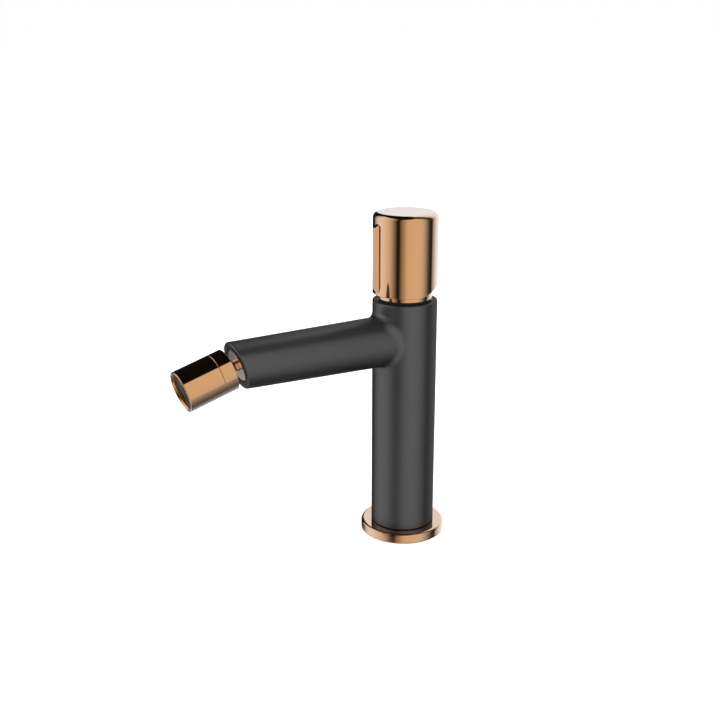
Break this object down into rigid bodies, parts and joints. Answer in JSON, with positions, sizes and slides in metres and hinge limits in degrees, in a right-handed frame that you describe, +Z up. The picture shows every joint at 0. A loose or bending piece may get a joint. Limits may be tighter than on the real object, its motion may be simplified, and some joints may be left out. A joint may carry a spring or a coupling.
{
  "type": "bidet mixer",
  "caption": "Slim deck-mounted bidet mixer with a tapered spout, a knob that turns and tilts backward, and an aerator that swivels on a ball.",
  "frame": {"origin": "centre of the bar's foot on the deck, on the bar's axis", "axes": "+Z up along the bar, -Y toward the spout's outlet, +X to the right of someone who faces +Y"},
  "size_m": [0.0478, 0.1605, 0.1867],
  "materials": {
    "rose_gold": "polished rose-gold coating on brass",
    "graphite": "satin graphite coating on brass",
    "pale_steel": "polished stainless steel",
    "brass": "machined brass",
    "black_rubber": "matt",
    "ivory_plastic": "moulded acetal",
    "grey_plastic": "moulded, blue-grey",
    "alumina": "lapped"
  },
  "bodies": {
    "mixer_body": {"body_casting": "graphite", "base_flange": "rose_gold", "base_gasket": "black_rubber", "body_seal_ring": "black_rubber", "cartridge_base": "grey_plastic", "port_seals": "black_rubber", "disc_seals": "black_rubber", "fixed_disc": "alumina", "cartridge_housing": "ivory_plastic", "cartridge_nut": "brass", "cap_seal": "black_rubber", "cap_ring": "rose_gold", "spout_adapter": "pale_steel", "adapter_seal": "black_rubber", "ball_stem": "rose_gold"},
    "rotor_group": {"rotor": "ivory_plastic", "rotor_seal": "black_rubber", "spindle_pin": "pale_steel"},
    "carrier_group": {"disc_carrier": "ivory_plastic", "moving_disc": "alumina"},
    "lever": {"spindle": "pale_steel", "knob_shell": "rose_gold", "grip_fin": "rose_gold", "knob_insert": "ivory_plastic", "set_screw": "pale_steel"},
    "inner_liner": {"ball_liner": "ivory_plastic"},
    "outer_liner": {"ball_cup": "ivory_plastic"},
    "aerator": {"seat_washer": "black_rubber", "aerator_rear_ring": "rose_gold", "aerator_shell": "rose_gold", "aerator_washer": "black_rubber", "aerator_body": "grey_plastic", "aerator_strainer": "pale_steel", "jet_disc": "grey_plastic", "mesh_screens": "pale_steel"}
  },
  "joints": [
    {"name": "knob_turn", "type": "hinge", "parent": "mixer_body", "child": "rotor_group", "pos_m": [0, 0, 0.1395], "axis": [0, 0, 1], "range_deg": [-50, 50]},
    {"name": "knob_tilt", "type": "hinge", "parent": "rotor_group", "child": "lever", "pos_m": [0, 0, 0.1395], "axis": [-1, 0, 0], "range_deg": [0, 20]},
    {"name": "disc_slide", "type": "slide", "parent": "rotor_group", "child": "carrier_group", "axis": [0, -1, 0], "range_m": [0, 0.0029]},
    {"name": "aerator_pitch", "type": "hinge", "parent": "mixer_body", "child": "inner_liner", "pos_m": [0, -0.11278, 0.11354], "axis": [1, 0, 0], "range_deg": [-15, 15]},
    {"name": "aerator_yaw", "type": "hinge", "parent": "inner_liner", "child": "outer_liner", "pos_m": [0, -0.11278, 0.11354], "axis": [0, -0.284, 0.9588], "range_deg": [-15, 15]},
    {"name": "aerator_spin", "type": "hinge", "parent": "outer_liner", "child": "aerator", "pos_m": [0, -0.11278, 0.11354], "axis": [0, -0.9588, -0.284], "continuous": true}
  ],
  "couplings": [
    {"joint": "disc_slide", "follows": "knob_tilt", "m_per_rad": 0.0083}
  ]
}
